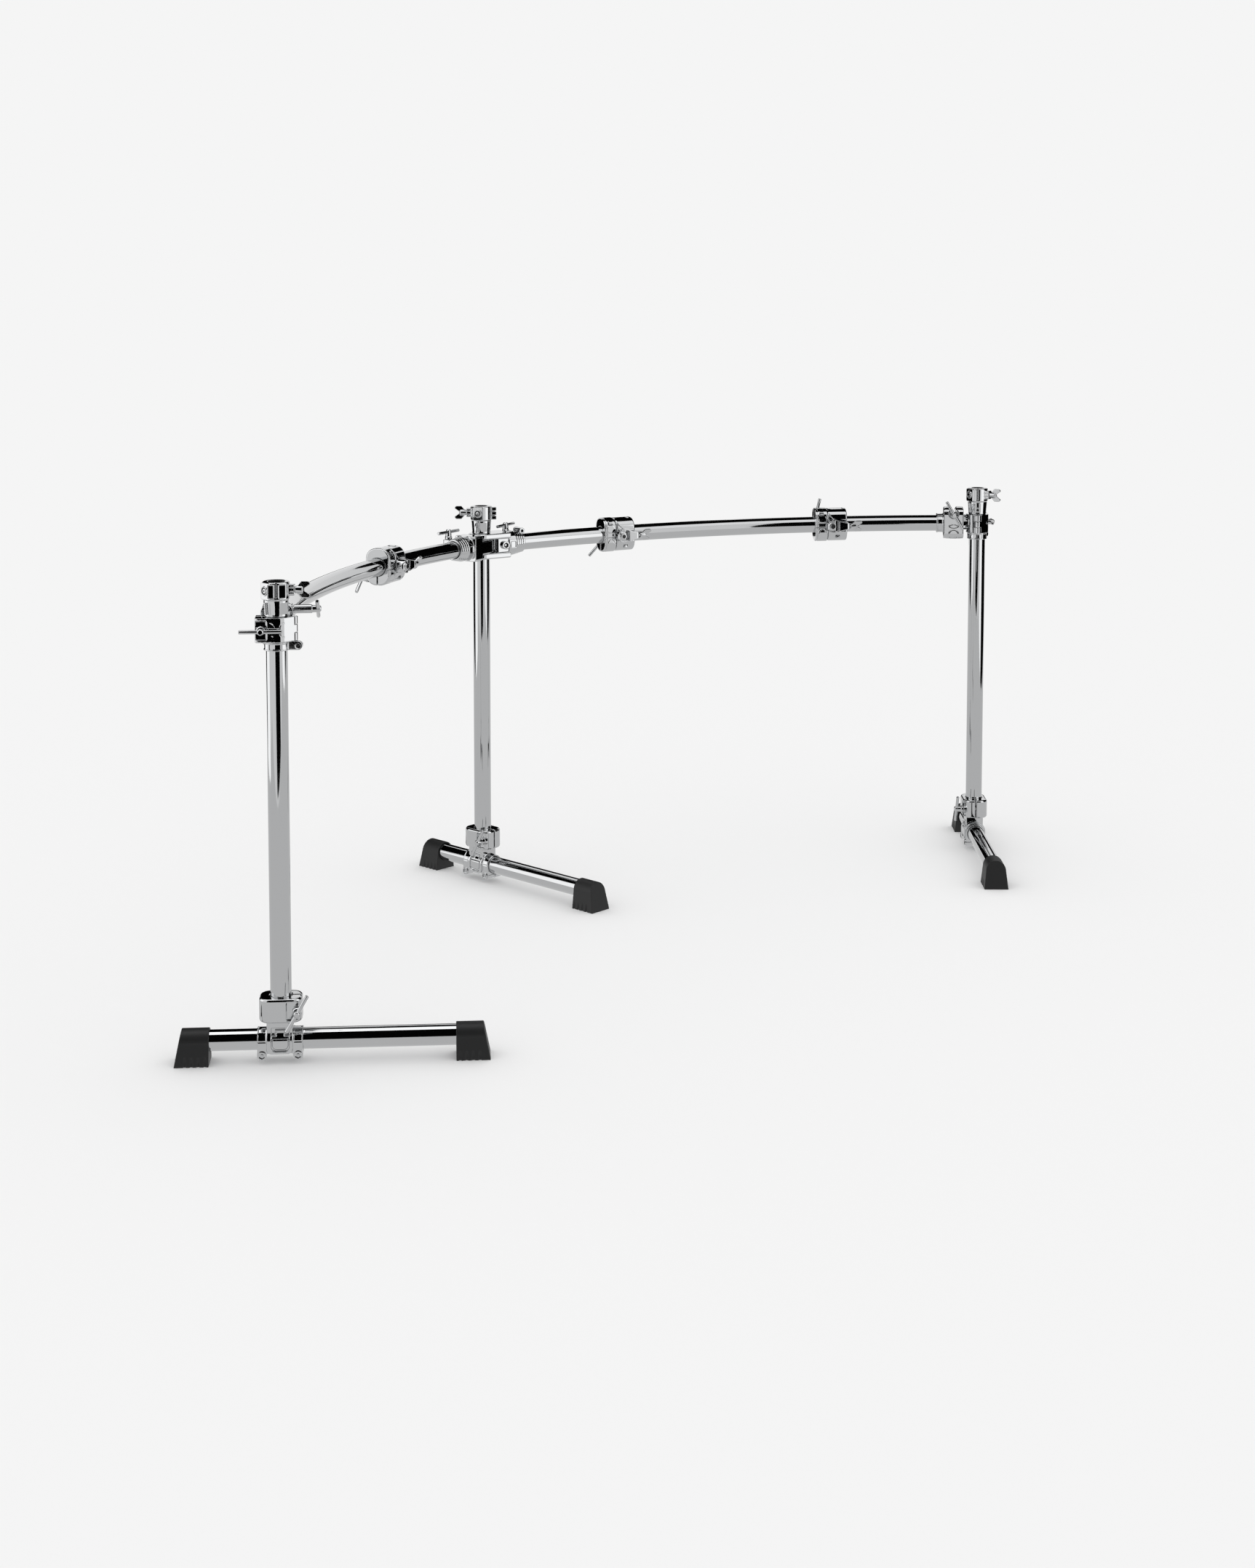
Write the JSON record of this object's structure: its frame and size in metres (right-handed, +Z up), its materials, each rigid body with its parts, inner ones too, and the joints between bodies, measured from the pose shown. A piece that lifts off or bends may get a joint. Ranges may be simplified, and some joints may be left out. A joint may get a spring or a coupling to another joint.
{
  "type": "drum rack frame",
  "caption": "Free-standing curved drum rack: chromed tube posts on tee feet, bowed bars joined at a hub, sliding clamps and top sockets.",
  "frame": {"origin": "the middle of the footprint on the floor", "axes": "+Z up, -Y toward the player, +X from the left post to the right post"},
  "size_m": [2.377, 1.095, 0.8723],
  "materials": {
    "tube_chrome": "polished chrome plate on steel tube",
    "cast_chrome": "polished chrome plate on cast clamps",
    "bolt_chrome": "bright chrome plate on keys and bolts",
    "foot_rubber": "moulded black rubber, semi-matt",
    "peg_rubber": "smooth black rubber sleeve"
  },
  "bodies": {
    "centre_post": {"centre_upright": "tube_chrome", "centre_cup": "cast_chrome"},
    "right_beam": {"right_arm": "cast_chrome", "right_bar": "tube_chrome", "right_tee_body": "cast_chrome"},
    "left_beam": {"left_arm": "cast_chrome", "left_bar": "tube_chrome", "left_tee_body": "cast_chrome"},
    "left_post": {"left_upright": "tube_chrome", "left_cup": "cast_chrome"},
    "right_post": {"right_upright": "tube_chrome", "right_cup": "cast_chrome"},
    "left_ring": {"left_memory_ring": "cast_chrome"},
    "left_post_jaw": {"left_tee_post_jaw": "cast_chrome"},
    "left_post_key": {"left_tee_post_key": "bolt_chrome"},
    "left_bar_jaw": {"left_tee_bar_jaw": "cast_chrome"},
    "left_bar_key": {"left_tee_bar_key": "bolt_chrome"},
    "left_arm_key": {"left_arm_key": "bolt_chrome"},
    "right_ring": {"right_memory_ring": "cast_chrome"},
    "right_post_jaw": {"right_tee_post_jaw": "cast_chrome"},
    "right_post_key": {"right_tee_post_key": "bolt_chrome"},
    "right_bar_jaw": {"right_tee_bar_jaw": "cast_chrome"},
    "right_bar_key": {"right_tee_bar_key": "bolt_chrome"},
    "right_arm_key": {"right_arm_key": "bolt_chrome"},
    "left_base": {"left_base_clamp": "cast_chrome"},
    "left_leg": {"left_base_tube": "tube_chrome", "left_front_foot": "foot_rubber", "left_rear_foot": "foot_rubber"},
    "left_base_key": {"left_base_key": "bolt_chrome"},
    "left_cup_bolt": {"left_cup_wing_bolt": "bolt_chrome"},
    "centre_base": {"centre_base_clamp": "cast_chrome"},
    "centre_leg": {"centre_base_tube": "tube_chrome", "centre_front_foot": "foot_rubber", "centre_rear_foot": "foot_rubber"},
    "centre_base_key": {"centre_base_key": "bolt_chrome"},
    "centre_cup_bolt": {"centre_cup_wing_bolt": "bolt_chrome"},
    "right_base": {"right_base_clamp": "cast_chrome"},
    "right_leg": {"right_base_tube": "tube_chrome", "right_front_foot": "foot_rubber", "right_rear_foot": "foot_rubber"},
    "right_base_key": {"right_base_key": "bolt_chrome"},
    "right_cup_bolt": {"right_cup_wing_bolt": "bolt_chrome"},
    "left_multi_clamp": {"left_multi_body": "cast_chrome", "left_multi_ring": "cast_chrome", "left_multi_peg": "peg_rubber"},
    "left_multi_jaw": {"left_multi_bracket": "cast_chrome"},
    "left_multi_bolt": {"left_multi_wing_bolt": "bolt_chrome"},
    "left_multi_key": {"left_multi_ring_key": "bolt_chrome"},
    "inner_multi_clamp": {"inner_multi_body": "cast_chrome", "inner_multi_ring": "cast_chrome"},
    "inner_multi_jaw": {"inner_multi_bracket": "cast_chrome"},
    "inner_multi_bolt": {"inner_multi_wing_bolt": "bolt_chrome"},
    "inner_multi_key": {"inner_multi_ring_key": "bolt_chrome"},
    "outer_multi_clamp": {"outer_multi_body": "cast_chrome", "outer_multi_ring": "cast_chrome"},
    "outer_multi_jaw": {"outer_multi_bracket": "cast_chrome"},
    "outer_multi_bolt": {"outer_multi_wing_bolt": "bolt_chrome"},
    "outer_multi_key": {"outer_multi_ring_key": "bolt_chrome"},
    "bar_ring": {"bar_memory_ring": "cast_chrome"}
  },
  "joints": [
    {"name": "rack_height", "type": "slide", "parent": "centre_post", "child": "right_beam", "axis": [0, 0, 1], "range_m": [-0.3, 0]},
    {"name": "wing_angle", "type": "hinge", "parent": "right_beam", "child": "left_beam", "pos_m": [0.00377, 0.35721, 0.772], "axis": [0, 0, 1], "range_deg": [-30, 30]},
    {"name": "left_post_slide", "type": "slide", "parent": "left_beam", "child": "left_post", "axis": [0, 0, 1], "range_m": [0, 0.3]},
    {"name": "left_ring_slide", "type": "slide", "parent": "left_post", "child": "left_ring", "axis": [0, 0, 1], "range_m": [-0.3, 0]},
    {"name": "left_post_jaw_hinge", "type": "hinge", "parent": "left_beam", "child": "left_post_jaw", "pos_m": [-1.0029, -0.28477, 0.784], "axis": [0, 0, 1], "range_deg": [0, 80]},
    {"name": "left_post_key_turn", "type": "hinge", "parent": "left_post_jaw", "child": "left_post_key", "pos_m": [-1.06008, -0.26386, 0.784], "axis": [-0.6329, -0.7743, 0], "continuous": true},
    {"name": "left_bar_jaw_hinge", "type": "hinge", "parent": "left_beam", "child": "left_bar_jaw", "pos_m": [-0.9919, -0.22079, 0.75247], "axis": [0.6329, 0.7743, 0], "range_deg": [0, 80]},
    {"name": "left_bar_key_turn", "type": "hinge", "parent": "left_bar_jaw", "child": "left_bar_key", "pos_m": [-0.96945, -0.23914, 0.80897], "axis": [0.7743, -0.6329, 0], "continuous": true},
    {"name": "left_arm_key_turn", "type": "hinge", "parent": "left_beam", "child": "left_arm_key", "pos_m": [-0.08463, 0.36809, 0.79427], "axis": [0, 0, 1], "continuous": true},
    {"name": "right_post_slide", "type": "slide", "parent": "right_beam", "child": "right_post", "axis": [0, 0, 1], "range_m": [0, 0.3]},
    {"name": "right_ring_slide", "type": "slide", "parent": "right_post", "child": "right_ring", "axis": [0, 0, 1], "range_m": [-0.3, 0]},
    {"name": "right_post_jaw_hinge", "type": "hinge", "parent": "right_beam", "child": "right_post_jaw", "pos_m": [1.01044, -0.28477, 0.788], "axis": [0, 0, -1], "range_deg": [0, 80]},
    {"name": "right_post_key_turn", "type": "hinge", "parent": "right_post_jaw", "child": "right_post_key", "pos_m": [1.06762, -0.26386, 0.788], "axis": [0.6328, -0.7743, 0], "continuous": true},
    {"name": "right_bar_jaw_hinge", "type": "hinge", "parent": "right_beam", "child": "right_bar_jaw", "pos_m": [0.99945, -0.22078, 0.7563], "axis": [0.6328, -0.7743, 0], "range_deg": [0, 80]},
    {"name": "right_bar_key_turn", "type": "hinge", "parent": "right_bar_jaw", "child": "right_bar_key", "pos_m": [0.97699, -0.23914, 0.8128], "axis": [-0.7743, -0.6328, 0], "continuous": true},
    {"name": "right_arm_key_turn", "type": "hinge", "parent": "right_beam", "child": "right_arm_key", "pos_m": [0.08827, 0.36895, 0.79452], "axis": [0, 0, 1], "continuous": true},
    {"name": "left_base_swivel", "type": "hinge", "parent": "left_post", "child": "left_base", "pos_m": [-1.0269, -0.26515, 0.099], "axis": [0, 0, 1], "continuous": true},
    {"name": "left_leg_slide", "type": "slide", "parent": "left_base", "child": "left_leg", "axis": [0.7593, -0.6508, 0], "range_m": [-0.26, 0.08]},
    {"name": "left_base_key_turn", "type": "hinge", "parent": "left_base", "child": "left_base_key", "pos_m": [-1.02262, -0.30702, 0.099], "axis": [-0.6508, -0.7593, 0], "continuous": true},
    {"name": "left_cup_bolt_turn", "type": "hinge", "parent": "left_post", "child": "left_cup_bolt", "pos_m": [-1.00357, -0.28848, 0.8533], "axis": [0.7071, -0.7071, 0], "continuous": true},
    {"name": "centre_base_swivel", "type": "hinge", "parent": "centre_post", "child": "centre_base", "pos_m": [0.00377, 0.35721, 0.099], "axis": [0, 0, 1], "continuous": true},
    {"name": "centre_leg_slide", "type": "slide", "parent": "centre_base", "child": "centre_leg", "axis": [0.0349, -0.9994, 0], "range_m": [-0.26, 0.08]},
    {"name": "centre_base_key_turn", "type": "hinge", "parent": "centre_base", "child": "centre_base_key", "pos_m": [-0.02414, 0.32571, 0.099], "axis": [-0.9994, -0.0349, 0], "continuous": true},
    {"name": "centre_cup_bolt_turn", "type": "hinge", "parent": "centre_post", "child": "centre_cup_bolt", "pos_m": [-0.01956, 0.38054, 0.8478], "axis": [-0.7071, 0.7071, 0], "continuous": true},
    {"name": "right_base_swivel", "type": "hinge", "parent": "right_post", "child": "right_base", "pos_m": [1.03445, -0.26515, 0.099], "axis": [0, 0, 1], "continuous": true},
    {"name": "right_leg_slide", "type": "slide", "parent": "right_base", "child": "right_leg", "axis": [-0.712, -0.7022, 0], "range_m": [-0.26, 0.08]},
    {"name": "right_base_key_turn", "type": "hinge", "parent": "right_base", "child": "right_base_key", "pos_m": [0.99237, -0.26592, 0.099], "axis": [-0.7022, 0.712, 0], "continuous": true},
    {"name": "right_cup_bolt_turn", "type": "hinge", "parent": "right_post", "child": "right_cup_bolt", "pos_m": [1.04018, -0.29765, 0.8573], "axis": [0.1736, -0.9848, 0], "continuous": true},
    {"name": "left_multi_travel", "type": "hinge", "parent": "left_beam", "child": "left_multi_clamp", "pos_m": [0.27476, -1.25618, 0.778], "axis": [0.0085, 0.0052, 1], "range_deg": [-4, 18]},
    {"name": "left_multi_jaw_swivel", "type": "hinge", "parent": "left_multi_clamp", "child": "left_multi_jaw", "pos_m": [-0.3333, 0.22601, 0.77555], "axis": [0.3882, -0.9216, 0.0014], "continuous": true},
    {"name": "left_multi_bolt_turn", "type": "hinge", "parent": "left_multi_jaw", "child": "left_multi_bolt", "pos_m": [-0.3037, 0.22784, 0.77529], "axis": [0.9215, 0.3882, -0.0099], "continuous": true},
    {"name": "left_multi_key_turn", "type": "hinge", "parent": "left_multi_clamp", "child": "left_multi_key", "pos_m": [-0.39263, 0.26825, 0.74828], "axis": [-0.3882, 0.9216, -0.0014], "continuous": true},
    {"name": "inner_multi_travel", "type": "hinge", "parent": "right_beam", "child": "inner_multi_clamp", "pos_m": [-0.2672, -1.25618, 0.78], "axis": [-0.0114, 0.0069, 0.9999], "range_deg": [-6, 5]},
    {"name": "inner_multi_jaw_swivel", "type": "hinge", "parent": "inner_multi_clamp", "child": "inner_multi_jaw", "pos_m": [0.34051, 0.22615, 0.77673], "axis": [-0.3707, -0.9288, 0.0022], "continuous": true},
    {"name": "inner_multi_bolt_turn", "type": "hinge", "parent": "inner_multi_jaw", "child": "inner_multi_bolt", "pos_m": [0.36288, 0.20667, 0.77712], "axis": [0.9287, -0.3706, 0.0131], "continuous": true},
    {"name": "inner_multi_key_turn", "type": "hinge", "parent": "inner_multi_clamp", "child": "inner_multi_key", "pos_m": [0.32851, 0.29763, 0.74854], "axis": [0.3707, 0.9288, -0.0022], "continuous": true},
    {"name": "outer_multi_travel", "type": "hinge", "parent": "right_beam", "child": "outer_multi_clamp", "pos_m": [-0.2672, -1.25618, 0.78], "axis": [-0.0114, 0.0069, 0.9999], "range_deg": [-5, 6]},
    {"name": "outer_multi_jaw_swivel", "type": "hinge", "parent": "outer_multi_clamp", "child": "outer_multi_jaw", "pos_m": [0.78147, -0.04502, 0.78361], "axis": [-0.6475, -0.7621, -0.0021], "continuous": true},
    {"name": "outer_multi_bolt_turn", "type": "hinge", "parent": "outer_multi_jaw", "child": "outer_multi_bolt", "pos_m": [0.79646, -0.07061, 0.78396], "axis": [0.762, -0.6474, 0.0131], "continuous": true},
    {"name": "outer_multi_key_turn", "type": "hinge", "parent": "outer_multi_clamp", "child": "outer_multi_key", "pos_m": [0.79234, 0.02702, 0.8108], "axis": [0.6475, 0.7621, 0.0021], "continuous": true},
    {"name": "bar_ring_travel", "type": "hinge", "parent": "right_beam", "child": "bar_ring", "pos_m": [-0.2672, -1.25618, 0.78], "axis": [-0.0114, 0.0069, 0.9999], "range_deg": [0, 2.5]}
  ],
  "couplings": [
    {"joint": "left_post_slide", "follows": "rack_height", "ratio": -1},
    {"joint": "left_ring_slide", "follows": "rack_height", "ratio": 1},
    {"joint": "right_post_slide", "follows": "rack_height", "ratio": -1},
    {"joint": "right_ring_slide", "follows": "rack_height", "ratio": 1}
  ]
}
